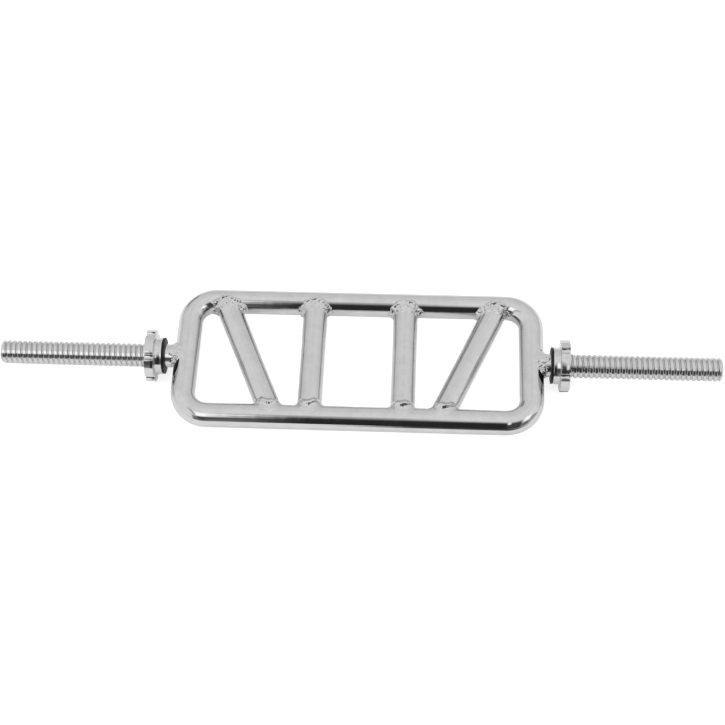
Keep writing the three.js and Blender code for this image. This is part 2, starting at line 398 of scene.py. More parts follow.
@dataclass(frozen=True)
class Shading:
    """Adds nodes to the node tree of a material or of the world."""

    tree: bpy.types.NodeTree

    def node(self, kind: str) -> bpy.types.Node:
        """Adds a node, named by its type without the first two words."""
        return self.tree.nodes.new(f"ShaderNode{kind}")

    def feed(self, slot: Socket, value: Socket | float | tuple[float, ...]) -> None:
        """Fills an input.

        Args:
            slot: The input.
            value: A socket to link, or a number or colour.
        """
        if isinstance(value, Socket):
            self.tree.links.new(value, slot)
        else:
            slot.default_value = value

    def of(self, way: Sum, *values: Socket | float) -> Socket:
        """Adds a Math node.

        Args:
            way: Its operation.
            values: What goes in, a socket or a number each.

        Returns:
            Its output.
        """
        node = self.node("Math")
        node.operation = way.value
        for slot, value in zip(node.inputs, values):
            self.feed(slot, value)
        return node.outputs[0]

    def spread(
        self,
        value: Socket,
        source: tuple[float, float],
        result: tuple[float, float] = (0.0, 1.0),
        soft: bool = False,
    ) -> Socket:
        """Maps one span of a value onto another.

        Args:
            value: What is measured.
            source: The span that is mapped.
            result: The span that it becomes.
            soft: Whether it sets off and arrives gently.

        Returns:
            The mapped value.
        """
        node = self.node("MapRange")
        node.interpolation_type = "SMOOTHSTEP" if soft else "LINEAR"
        for name, number in zip(("From Min", "From Max", "To Min", "To Max"), source + result):
            self.feed(node.inputs[name], number)
        self.feed(node.inputs["Value"], value)
        return node.outputs["Result"]

    def fade(self, value: Socket, low: float, high: float) -> Socket:
        """Rises smoothly from 0 at low to 1 at high.

        Args:
            value: What is measured.
            low: Where the rise starts.
            high: Where it ends.

        Returns:
            The risen value.
        """
        return self.spread(value, (low, high), soft=True)

    def within(self, value: Socket, span: tuple[float, float], soft: float) -> Socket:
        """Finds how far a value is inside a span with soft ends.

        Args:
            value: What is measured.
            span: The span's two ends.
            soft: Half the width over which each end fades.

        Returns:
            1 inside the span, 0 outside it.
        """
        low, high = span
        past = self.fade(value, high - soft, high + soft)
        begun = self.fade(value, low - soft, low + soft)
        return self.of(Sum.MULTIPLY, begun, self.of(Sum.SUBTRACT, 1.0, past))

    def mix(self, share: Socket, first: Socket | float, second: Socket | float) -> Socket:
        """Blends two values.

        Args:
            share: How much of the second, from 0 to 1.
            first: The first value.
            second: The second value.

        Returns:
            The blend.
        """
        node = self.node("Mix")
        node.data_type = "FLOAT"
        for index, value in ((0, share), (2, first), (3, second)):
            self.feed(node.inputs[index], value)
        return node.outputs[0]

    def split(self, place: Socket) -> Sequence[Socket]:
        """Splits coordinates into X, Y and Z.

        Args:
            place: The coordinates.

        Returns:
            The three outputs.
        """
        node = self.node("SeparateXYZ")
        self.feed(node.inputs[0], place)
        return node.outputs

    def noise(
        self, place: Socket, size: float, detail: float, roughness: float = 0.5
    ) -> Socket:
        """Adds a noise pattern.

        Args:
            place: The coordinates that it reads.
            size: The size of its patches, in their unit.
            detail: How many finer layers it has.
            roughness: How strong the finer layers are.

        Returns:
            The noise, from 0 to 1.
        """
        node = self.node("TexNoise")
        self.feed(node.inputs["Vector"], place)
        self.feed(node.inputs["Scale"], 1 / size)
        self.feed(node.inputs["Detail"], detail)
        self.feed(node.inputs["Roughness"], roughness)
        return node.outputs["Fac"]

    def greys(
        self, value: Socket, low: tuple[float, float], high: tuple[float, float]
    ) -> Socket:
        """Colours a value by a grey ramp.

        Args:
            value: What is measured.
            low: The first stop's place and shade.
            high: The last stop's place and shade.

        Returns:
            The colour.
        """
        node = self.node("ValToRGB")
        for index, (place, shade) in enumerate((low, high)):
            node.color_ramp.elements[index].position = place
            node.color_ramp.elements[index].color = (shade, shade, shade, 1)
        self.feed(node.inputs["Fac"], value)
        return node.outputs["Color"]

    def bump(self, height: Socket, depth: float, normal: Socket | None = None) -> Socket:
        """Raises a pattern on the surface.

        Args:
            height: The pattern.
            depth: How high it stands, in metres.
            normal: The normal under it, where there is one.

        Returns:
            The new normal.
        """
        node = self.node("Bump")
        self.feed(node.inputs["Strength"], 1)
        self.feed(node.inputs["Distance"], depth)
        self.feed(node.inputs["Height"], height)
        if normal is not None:
            self.feed(node.inputs["Normal"], normal)
        return node.outputs["Normal"]


def new_material(name: str) -> tuple[bpy.types.Material, Shading]:
    """Starts a material.

    Args:
        name: Its name.

    Returns:
        The material with Blender's plain shader, and what adds nodes to it.
    """
    made = bpy.data.materials.new(name)
    made.use_nodes = True
    return made, Shading(made.node_tree)


@dataclass(frozen=True)
class ChromeFinish:
    """Chrome plate, as polished or as rough as the metal under it.

    Sizes of the patterns are in metres. Each span belongs to the clouds' noise.
    """

    name: str
    shade: float = 0.62
    ior: float = 1.45
    roughness: tuple[float, float] = (0.03, 0.09)
    roughness_span: tuple[float, float] = (0.35, 0.7)
    shade_span: tuple[float, float] = (0.3, 0.7)
    cloud_size: float = 0.014
    cloud_depth: float = 0.1
    cloud_detail: float = 5
    cloud_roughness: float = 0.6
    wave_size: float = 0.02
    wave_depth: float = 0.00004
    wave_detail: float = 1
    grain_size: float = 0.0012
    grain_depth: float = 0.0
    grain_detail: float = 4
    pit_size: float = 0.004
    pit_depth: float = 0.0
    pit_detail: float = 2

    def material(self) -> bpy.types.Material:
        """Builds the material.

        Returns:
            The material, with its pattern on Object coordinates.
        """
        made, shading = new_material(self.name)
        shader = made.node_tree.nodes["Principled BSDF"].inputs
        shading.feed(shader["Metallic"], 1)
        shading.feed(shader["IOR"], self.ior)
        place = shading.node("TexCoord").outputs["Object"]
        clouds = shading.noise(
            place, self.cloud_size, self.cloud_detail, self.cloud_roughness
        )
        gloss = shading.spread(clouds, self.roughness_span, self.roughness)
        shading.feed(shader["Roughness"], gloss)
        first, last = self.shade_span
        dull = self.shade * (1 - self.cloud_depth)
        tint = shading.greys(clouds, (first, dull), (last, self.shade))
        shading.feed(shader["Base Color"], tint)
        normal = None
        for size, depth, detail in (
            (self.wave_size, self.wave_depth, self.wave_detail),
            (self.grain_size, self.grain_depth, self.grain_detail),
            (self.pit_size, self.pit_depth, self.pit_detail),
        ):
            if depth > 0:
                normal = shading.bump(shading.noise(place, size, detail), depth, normal)
        if normal is not None:
            shading.feed(shader["Normal"], normal)
        return made


@dataclass(frozen=True)
class RubberFinish:
    """Matt black moulded rubber with a fine grain and a dusty bloom.

    Sizes of the patterns are in metres.
    """

    name: str
    shade: float = 0.008
    bloom: float = 0.02
    bloom_span: tuple[float, float] = (0.35, 0.8)
    specular: float = 0.2
    roughness: tuple[float, float] = (0.3, 0.55)
    dust_size: float = 1 / 180
    dust_detail: float = 6
    grain_size: float = 0.0006
    grain_depth: float = 0.00005
    grain_detail: float = 3

    def material(self) -> bpy.types.Material:
        """Builds the material.

        Returns:
            The material, with its pattern on Object coordinates.
        """
        made, shading = new_material(self.name)
        shader = made.node_tree.nodes["Principled BSDF"].inputs
        shading.feed(shader["Specular IOR Level"], self.specular)
        place = shading.node("TexCoord").outputs["Object"]
        dust = shading.noise(place, self.dust_size, self.dust_detail)
        first, last = self.bloom_span
        tint = shading.greys(dust, (first, self.shade), (last, self.bloom))
        shading.feed(shader["Base Color"], tint)
        gloss = shading.spread(dust, (0.0, 1.0), self.roughness)
        shading.feed(shader["Roughness"], gloss)
        grain = shading.noise(place, self.grain_size, self.grain_detail)
        shading.feed(shader["Normal"], shading.bump(grain, self.grain_depth))
        return made


TUBE_CHROME = ChromeFinish("tube_chrome")
HANDLE_CHROME = ChromeFinish(
    "handle_chrome", roughness=(0.1, 0.2), wave_size=0.016, wave_depth=0.00005
)
WELD_CHROME = ChromeFinish(
    "weld_chrome", roughness=(0.06, 0.16), grain_depth=0.00004, pit_depth=0.00012
)
THREAD_CHROME = ChromeFinish(
    "thread_chrome", shade=0.6, roughness=(0.07, 0.18), wave_depth=0.0, grain_depth=0.00001
)
COLLAR_CHROME = ChromeFinish(
    "collar_chrome", roughness=(0.08, 0.18), wave_size=0.008, wave_depth=0.00012,
    pit_size=0.003, pit_depth=0.00005,
)
RING_RUBBER = RubberFinish("ring_rubber")


@dataclass
class Wardrobe:
    """The finishes, each made into a material once."""

    made: dict[str, bpy.types.Material] = field(default_factory=dict)

    def dress(self, piece: Piece, finish: ChromeFinish | RubberFinish) -> None:
        """Gives a piece its finish.

        Args:
            piece: The piece.
            finish: The finish.
        """
        if finish.name not in self.made:
            self.made[finish.name] = finish.material()
        piece.data.materials.clear()
        piece.data.materials.append(self.made[finish.name])


@dataclass
class Assembly:
    """What every sub-assembly does with a finished piece."""

    wardrobe: Wardrobe

    def hand_over(
        self,
        piece: Piece,
        finish: ChromeFinish | RubberFinish,
        slot: Slot,
        body: str,
        node: str,
    ) -> None:
        """Dresses a piece, puts it on its body and lets it stand for its node.

        Args:
            piece: The finished piece.
            finish: Its finish.
            slot: The record's slot that the finish belongs to; not used.
            body: The body that it rides on.
            node: The node that it replaces.
        """
        self.wardrobe.dress(piece, finish)
        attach(piece, body)
        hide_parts(node)
        log.info("%s on %s: %d faces", piece.name, body, len(piece.data.polygons))


# The frame loop


@dataclass
class FrameLoop(Assembly):
    """One tube bent at four corners into a closed loop. Sizes in metres."""

    half_length: float = 207 * MM
    half_width: float = 80 * MM
    bend: float = 31 * MM
    radius: float = 14.6 * MM
    sides: int = ROUND_SIDES
    bend_steps: int = 28
    bend_lead: float = 4 * MM
    seam: float = 1e-5

    def centre_distance(self, place: Vector) -> float:
        """Measures how far a point is from the loop's centre line.

        Args:
            place: The point.

        Returns:
            The distance.
        """
        past_x = abs(place.x) - (self.half_length - self.bend)
        past_y = abs(place.y) - (self.half_width - self.bend)
        outside = math.hypot(max(past_x, 0), max(past_y, 0))
        inside = min(max(past_x, past_y), 0)
        return math.hypot(outside + inside - self.bend, place.z)

    def build(self) -> Piece:
        """Bends the tube: straight, corner, straight, corner, back to its start.

        Returns:
            The loop.
        """
        across = self.half_length - self.bend
        along = self.half_width - self.bend
        deselect_all()
        bpy.ops.mesh.primitive_circle_add(
            vertices=self.sides,
            radius=self.radius,
            fill_type="NOTHING",
            location=(-across, -self.half_width, 0),
            rotation=(0, math.pi / 2, 0),
        )
        loop = bpy.context.object
        corners = (
            ((across, -along), (1, 0), across),
            ((across, along), (0, 1), along),
            ((-across, along), (-1, 0), across),
            ((-across, -along), (0, -1), along),
        )
        with Editing(loop) as edit:
            bpy.ops.mesh.select_all(action="SELECT")
            for (x, y), (dx, dy), half in corners:
                for step in (self.bend_lead, 2 * (half - self.bend_lead), self.bend_lead):
                    edit.extrude((dx * step, dy * step, 0))
                edit.spin(TURN / 4, self.bend_steps, (x, y, 0), (0, 0, 1))
            edit.tidy(self.seam)
        settle(loop, "frame_tube")
        smooth(loop)
        return loop

    def dress(self, loop: Piece) -> None:
        """Plates the loop and hands it over.

        Args:
            loop: The loop.
        """
        self.hand_over(loop, TUBE_CHROME, Slot.FRAME, "bar", "frame_loop")


# The handles


@dataclass
class Handle(Assembly):
    """A grip tube between the rails, coped to saddle them. Sizes in metres."""

    side: Side
    row: str
    near_x: float
    far_x: float
    rail_y: float = 80 * MM
    radius: float = 14.6 * MM
    inset: float = 0.05 * MM
    sides: int = ROUND_SIDES
    end_length: float = 30 * MM

    @property
    def word(self) -> str:
        """The handle's name as the pieces write it."""
        return f"{self.side.word}_{self.row}"

    def rail_point(self, rail: Rail) -> Vector:
        """Finds where the handle's axis crosses a rail's centre line.

        Args:
            rail: The rail.

        Returns:
            The crossing.
        """
        reach = self.near_x if rail is Rail.NEAR else self.far_x
        return Vector((self.side.value * reach, rail.value * self.rail_y, 0))

    def build(self, loop: Piece) -> Piece:
        """Turns the tube, rings it near both ends and copes it on the loop.

        Args:
            loop: The frame loop, which stays as it is.

        Returns:
            The handle.
        """
        near, far = self.rail_point(Rail.NEAR), self.rail_point(Rail.FAR)
        along = (far - near).normalized()
        deselect_all()
        bpy.ops.mesh.primitive_cylinder_add(
            vertices=self.sides,
            radius=self.radius - self.inset,
            depth=(far - near).length,
            location=(near + far) / 2,
            rotation=(math.pi / 2, 0, -math.atan2(along.x, along.y)),
        )
        tube = settle(bpy.context.object, f"grip_{self.word}")
        with Editing(tube) as edit:
            for end, inward in ((near, along), (far, -along)):
                edit.cut(tuple(end + inward * self.end_length), tuple(along))
        combine(tube, [loop], Joining.CUT, keep=True)
        smooth(tube)
        return tube

    def dress(self, tube: Piece) -> None:
        """Plates the handle and hands it over.

        Args:
            tube: The handle.
        """
        self.hand_over(tube, HANDLE_CHROME, Slot.HANDLE, "bar", f"handle_{self.word}")


# The welds


@dataclass(frozen=True)
class Bead:
    """How a weld was laid: its size and how even it is. Sizes in metres.

    The legs run along the joined tube, from the bead's flanks to its crown. Shares go
    from the bead's toe on the loop to its top on the tube.
    """

    flank_leg: float
    crown_leg: float
    spread: float = 7 * MM
    climb: float = 1.5 * MM
    fill: float = 3.5 * MM
    bulge: float = 1 * MM
    fullness: float = 0.0
    waver: float = 0.9
    most_waver: float = 0.5
    waver_size: float = 2.0
    waver_place: Place = (7, 3, 1)
    ripple: float = 0.08 * MM
    ripple_length: float = 2.4 * MM
    ripple_bow: float = 2.4
    lump: float = 0.25 * MM
    lump_size: float = 4 * MM
    small_lump: float = 0.5
    small_lump_size: float = 0.45
    spatter: float = 0.1 * MM
    spatter_size: float = 1.4 * MM
    spatter_evenness: float = 0.2
    ridge: float = 0.0
    ridge_share: float = 0.785
    ridge_width: float = 2.3 * MM
    ridge_focus: float = 4.0
    ridge_unevenness: float = 0.4
    edge_hold: float = 0.4


NEAR_BEAD = Bead(flank_leg=5 * MM, crown_leg=20.5 * MM, ridge=4.8 * MM)
FAR_BEAD = Bead(
    flank_leg=5 * MM, crown_leg=16.5 * MM, spread=6.5 * MM, climb=0.5 * MM,
    bulge=1.2 * MM, fullness=0.6, ripple=0.1 * MM, lump=0.9 * MM, lump_size=3.0 * MM,
    spatter=1.8 * MM, spatter_size=2.1 * MM, spatter_evenness=0.3,
    ridge=2.2 * MM, ridge_share=0.22, ridge_focus=0.5,
)
SLEEVE_BEAD = Bead(
    flank_leg=4.5 * MM, crown_leg=18 * MM, spread=4 * MM, climb=3 * MM, fill=2 * MM,
    bulge=1.0 * MM, fullness=0.4, lump=0.8 * MM, lump_size=3 * MM, spatter=0.6 * MM,
    spatter_evenness=0.9,
)


@dataclass
class Weld(Assembly):
    """The fillet round one end of a tube on the loop. Sizes in metres."""

    loop: FrameLoop
    word: str
    start: Vector
    normal: Vector
    direction: Vector
    tube_radius: float
    bead: Bead
    sink: float = 0.3 * MM
    around: int = 360
    face_points: int = 29
    back_shares: tuple[float, ...] = (0.25, 0.5, 0.75)
    search_reach: float = 4.0
    halvings: int = 24
    sharp_angle: float = math.radians(60)

    def on_seat(self, origin: Vector, ray: Vector, seat: float) -> Vector:
        """Finds where a ray leaves the loop's tube.

        Args:
            origin: The start of the ray, inside the tube.
            ray: Its direction.
            seat: The radius of the tube.

        Returns:
            The place on the tube's surface.
        """
        low, high = 0.0, self.search_reach * self.loop.radius
        for _ in range(self.halvings):
            middle = (low + high) / 2
            if self.loop.centre_distance(origin + ray * middle) < seat:
                low = middle
            else:
                high = middle
        return origin + ray * high

    def relief(self, place: Vector, share: float, travelled: float) -> float:
        """Finds how far the bead's skin stands out at one place.

        Args:
            place: The place on the smooth bead.
            share: How far it is from the toe to the top, from 0 to 1.
            travelled: The length of weld already laid.

        Returns:
            The height of ripple, lumps and spatter together.
        """
        bead = self.bead
        phase = travelled / bead.ripple_length + bead.ripple_bow * (share - 0.5) ** 2
        height = bead.ripple * math.sin(TURN * phase)
        height += bead.lump * noise.noise(place / bead.lump_size)
        small = noise.noise(place / (bead.small_lump_size * bead.lump_size))
        height += bead.small_lump * bead.lump * small
        # The spatter lies towards the bead's two edges
        even = bead.spatter_evenness
        at_edge = even + (1 - even) * (2 * share - 1) ** 2
        return height + bead.spatter * at_edge * noise.noise(place / bead.spatter_size)

    def section(self, turn: float, travelled: float) -> tuple[list[Vector], float]:
        """Shapes one section of the bead.

        Args:
            turn: The angle round the tube's axis, from the rail's direction.
            travelled: The length of weld already laid.

        Returns:
            The section's points from its toe over its face and round its back,
            and the turn's share of the weld's length.
        """
        bead = self.bead
        up = Vector((0, 0, 1))
        along = self.direction.normalized()
        across = up.cross(along)
        railway = up.cross(self.normal)
        root = self.tube_radius - self.sink
        seat = self.loop.radius - self.sink
        flank, crown = math.cos(turn), math.sin(turn)
        outward = across * flank + up * crown
        corner = self.on_seat(self.start + outward * root, along, seat)

        waver_at = corner / (bead.waver_size * bead.lump_size) + Vector(bead.waver_place)
        uneven = noise.noise(waver_at)
        waver = 1 + bead.waver * uneven * min(bead.lump / MM, bead.most_waver)
        leg = bead.crown_leg + (bead.flank_leg - bead.crown_leg) * abs(flank)
        top = corner + along * (leg + self.sink) * waver
        spot = corner - self.start
        reach = spot.dot(railway)
        angle = math.atan2(spot.z, spot.dot(self.normal))
        spread = math.copysign(math.sqrt(abs(flank)), flank) * (bead.spread + self.sink)
        climb = crown * (bead.climb + self.sink + 2 * abs(flank) * bead.fill)

        def round_seat(share: float) -> Vector:
            """Steps from the corner along the loop's tube towards the toe."""
            around = angle + climb * waver * share / seat
            origin = self.start + railway * (reach + spread * waver * share)
            ray = self.normal * math.cos(around) + up * math.sin(around)
            return self.on_seat(origin, ray, seat)

        toe = round_seat(1)
        facing = self.normal * math.cos(angle) + up * math.sin(angle) + outward
        facing.normalize()
        flat = (toe + top) / 2
        handle = corner.lerp(flat, bead.fullness) + facing * 2 * bead.bulge * crown**2
        face = []
        for index in range(self.face_points):
            share = index / (self.face_points - 1)
            place = (
                toe * (1 - share) ** 2 + handle * 2 * share * (1 - share) + top * share**2
            )
            window = math.sin(math.pi * share)
            height = self.relief(place, share, travelled)
            from_ridge = (share - bead.ridge_share) * (top - toe).length / bead.ridge_width
            ridge = bead.ridge * (1 + bead.ridge_unevenness * uneven)
            ridge *= max(crown, 0.0) ** bead.ridge_focus * math.exp(-(from_ridge**2))
            raised = facing * height + outward * ridge
            face.append(place + raised * window**bead.edge_hold)
        back = [top.lerp(corner, 0.5), corner, *map(round_seat, self.back_shares)]
        return face + back, root * math.hypot(1, crown)

    def build(self) -> Piece:
        """Lays the bead: a ring, seated point by point where the tubes meet.

        Returns:
            The weld.
        """
        travelled = 0.0
        sections: list[list[Vector]] = []
        for step in range(self.around):
            points, stride = self.section(TURN * step / self.around, travelled)
            travelled += stride * TURN / self.around
            sections.append(points)
        deselect_all()
        bpy.ops.mesh.primitive_torus_add(
            major_segments=self.around,
            minor_segments=len(sections[0]),
            major_radius=self.tube_radius,
            minor_radius=self.bead.flank_leg,
            location=self.start,
        )
        ring = settle(bpy.context.object, f"fillet_{self.word}")
        places = [number for points in sections for point in points for number in point]
        ring.data.vertices.foreach_set("co", places)
        ring.data.update()
        with Editing(ring) as edit:
            edit.tidy(HAIR)
        smooth(ring, self.sharp_angle)
        return ring

    def dress(self, ring: Piece) -> None:
        """Plates the weld and hands it over.

        Args:
            ring: The weld.
        """
        self.hand_over(ring, WELD_CHROME, Slot.WELD, "bar", f"weld_{self.word}")


# The threaded sleeves


@dataclass(frozen=True)
class Thread:
    """A right-hand thread with flat crests. Sizes in metres."""

    pitch: float = 6.35 * MM
    crest: float = 14.25 * MM
    root: float = 12.5 * MM
    clearance: float = 0.2 * MM
    steps: int = 72
    root_share: float = 0.05
    flank_share: float = 0.22
    edge_share: float = 0.28
    edge_drop: float = 0.2 * MM
    seam: float = 2e-6

    def screwed(self, start: float, end: float, slack: float = 0.0) -> Piece:
        """Winds the thread's profile along X and cuts its ends square.

        Args:
            start: Where the thread starts.
            end: Where it ends.
            slack: How much larger it is than its nominal size.

        Returns:
            The threaded rod, solid through.
        """
        first = (math.floor(start / self.pitch) - 1) * self.pitch
        turns = math.ceil((end - first) / self.pitch) + 1
        root, crest = self.root + slack, self.crest + slack
        widen = slack / self.pitch
        shares = (
            (0.0, root),
            (self.root_share - widen, root),
            (self.flank_share - widen, crest - self.edge_drop),
            (self.edge_share - widen, crest),
            (1 - self.edge_share + widen, crest),
            (1 - self.flank_share + widen, crest - self.edge_drop),
            (1 - self.root_share + widen, root),
            (1.0, root),
        )
        rod = drawn_profile([(first + share * self.pitch, height) for share, height in shares])
        modifier = rod.modifiers.new("Winding", "SCREW")
        modifier.axis = "X"
        modifier.angle = TURN
        modifier.screw_offset = self.pitch
        modifier.iterations = turns
        modifier.steps = modifier.render_steps = self.steps
        modifier.use_merge_vertices = False
        finish_modifier(rod, modifier)
        with Editing(rod) as edit:
            edit.tidy(self.seam)
            edit.cut((end, 0, 0), (1, 0, 0), drop_above=True)
            edit.cut((start, 0, 0), (-1, 0, 0), drop_above=True)
            edit.tidy(HAIR)
        return rod


@dataclass
class Sleeve(Assembly):
    """A threaded bar on a side tube, drawn at the right end. Sizes in metres."""

    thread: Thread
    loop: FrameLoop
    end: float = 432 * MM
    chamfer: float = 2.5 * MM
    neck_radius: float = 14.1 * MM
    thread_start: float = 231 * MM
    sharp_angle: float = math.radians(25)

    def build(self) -> Piece:
        """Turns the blank, threads it and chamfers its end.

        Returns:
            The right sleeve.
        """
        thread = self.thread
        rod = thread.screwed(self.thread_start, self.end + SPARE)
        blank = turned_rod(thread.crest + SPARE, self.thread_start - SPARE, self.end)
        with Editing(blank) as edit:
            edit.points(lambda place: place.x > self.end - SPARE)
            bpy.ops.mesh.select_mode(type="EDGE")
            bpy.ops.mesh.bevel(offset=self.chamfer + SPARE, segments=1)
        combine(rod, [blank], Joining.CROSS)
        neck = turned_rod(
            self.neck_radius, self.loop.half_length, self.thread_start + SPARE
        )
        combine(rod, [neck], Joining.JOIN)
        settle(rod, "threaded_sleeve_right")
        smooth(rod, self.sharp_angle)
        return rod

    def dress(self, rod: Piece, side: Side) -> None:
        """Plates a sleeve and hands it over.

        Args:
            rod: The sleeve.
            side: The end that it is at.
        """
        self.hand_over(rod, THREAD_CHROME, Slot.SLEEVE, "bar", f"sleeve_{side.word}")


# The rubber rings


@dataclass
class RubberRing(Assembly):
    """A clamping ring seated in its collar, drawn at the right end. Sizes in metres."""

    side: Side
    start: float
    thickness: float = 2.4 * MM
    radius: float = 22 * MM
    bore: float = 14.55 * MM
    spigot_radius: float = 18 * MM
    spigot_length: float = 2.5 * MM
    groove: tuple[float, float] = (2.8 * MM, 4.0 * MM)
    groove_floor: tuple[float, float] = (3.2 * MM, 3.6 * MM)
    groove_depth: float = 0.3 * MM
    rim: float = 0.1 * MM
    rim_rounding: float = 1.1 * MM
    rim_steps: int = 5
    sharp_angle: float = math.radians(35)

    def build(self) -> Piece:
        """Turns the ring: a soft rim, a pressed face with a groove, and the spigot.

        Returns:
            The ring, at the right end for either side.
        """
        outer = self.start + self.thickness
        groove, floor = self.groove, self.groove_floor
        deep = self.start + self.groove_depth
        piece = turned_piece(
            (
                (self.start, self.bore),
                (self.start, self.radius - groove[1]),
                (deep, self.radius - floor[1]),
                (deep, self.radius - floor[0]),
                (self.start, self.radius - groove[0]),
                (self.start, self.radius),
                (outer, self.radius),
                (outer, self.spigot_radius),
                (outer + self.spigot_length, self.spigot_radius),
                (outer + self.spigot_length, self.bore),
            )
        )
        settle(piece, f"clamp_ring_{self.side.word}")
        with Editing(piece) as edit:
            inside = self.radius - self.rim
            edit.points(lambda place: math.hypot(place.y, place.z) > inside)
            bpy.ops.mesh.select_mode(type="EDGE")
            bpy.ops.mesh.bevel(offset=self.rim_rounding, segments=self.rim_steps)
        smooth(piece, self.sharp_angle)
        return piece

    def dress(self, piece: Piece) -> None:
        """Dresses the ring in rubber and hands it over.

        Args:
            piece: The ring, at its own end.
        """
        word = self.side.word
        self.hand_over(piece, RING_RUBBER, Slot.RUBBER, f"{word}_ring", f"rubber_ring_{word}")


# The star collars


@dataclass
class StarCollar(Assembly):
    """A screwed collar with a lobed flange, drawn at the right end. Sizes in metres.

    The hub's edge steps are measured from its inner face and its foot steps from the
    star, each along the axis and out from the hub.
    """

    thread: Thread
    side: Side
    start: float
    turn: float
    hub_radius: float = 22 * MM
    hub_length: float = 8.5 * MM
    hub_sides: int = 128
    edge_steps: tuple[tuple[float, float], ...] = (
        (0.0, -0.6 * MM), (0.25 * MM, -0.2 * MM), (0.6 * MM, 0.0),
    )
    foot_steps: tuple[tuple[float, float], ...] = (
        (-1.2 * MM, 0.0), (-0.4 * MM, 0.3 * MM), (0.2 * MM, 1.0 * MM), (MM, 1.0 * MM),
    )
    core: float = 1 * MM
    star_radius: float = 31.14 * MM
    star_thickness: float = 10.8 * MM
    star_sides: int = 192
    lobes: int = 6
    scallop_radius: float = 4.6 * MM
    scallop_depth: float = 4 * MM
    scallop_sides: int = 48
    recess_radius: float = 18.3 * MM
    recess_depth: float = 2.5 * MM
    rounding: float = 1.3 * MM
    rounding_steps: int = 4
    rounded_angle: float = math.radians(40)
    bore_chamfer: float = 1.8 * MM
    sharp_angle: float = math.radians(28)

    def build(self) -> Piece:
        """Casts the star on its hub, cuts the scallops and taps the bore.

        Returns:
            The collar, at the right end for either side.
        """
        star_start = self.start + self.hub_length
        end = star_start + self.star_thickness
        star = turned_rod(self.star_radius, star_start, end, self.star_sides)
        cutters = []
        from_axis = self.star_radius - self.scallop_depth + self.scallop_radius
        for lobe in range(self.lobes):
            angle = self.turn + (lobe + 0.5) * TURN / self.lobes
            deselect_all()
            bpy.ops.mesh.primitive_cylinder_add(
                vertices=self.scallop_sides,
                radius=self.scallop_radius,
                depth=3 * self.star_thickness,
                location=(
                    (star_start + end) / 2,
                    from_axis * math.cos(angle),
                    from_axis * math.sin(angle),
                ),
                rotation=(0, math.pi / 2, 0),
            )
            cutters.append(settle(bpy.context.object, "scallop"))
        combine(star, cutters, Joining.CUT)
        round_edges(star, self.rounding, self.rounding_steps, self.rounded_angle)

        steps = [(self.start + along, out) for along, out in self.edge_steps]
        steps += [(star_start + along, out) for along, out in self.foot_steps]
        corners = [(along, self.hub_radius + out) for along, out in steps]
        inside = [(corners[-1][0], self.core), (self.start, self.core)]
        hub = turned_piece(corners + inside, self.hub_sides)
        combine(star, [hub], Joining.JOIN)
        recess = turned_rod(
            self.recess_radius,
            self.start - SPARE,
            self.start + self.recess_depth,
            self.hub_sides,
        )
        tap = self.thread.screwed(self.start - SPARE, end + SPARE, self.thread.clearance)
        mouth = turned_piece(
            (
                (end + SPARE, self.core),
                (end + SPARE, self.thread.crest + self.bore_chamfer + SPARE),
                (end - self.bore_chamfer, self.thread.crest),
                (end - self.bore_chamfer, self.core),
            )
        )
        combine(star, [recess, tap, mouth], Joining.CUT)
        settle(star, f"star_flange_{self.side.word}")
        smooth(star, self.sharp_angle)
        return star

    def dress(self, piece: Piece) -> None:
        """Plates the collar and hands it over.

        Args:
            piece: The collar, at its own end.
        """
        word = self.side.word
        self.hand_over(
            piece, COLLAR_CHROME, Slot.COLLAR, f"{word}_collar", f"star_collar_{word}"
        )


# The whole bar


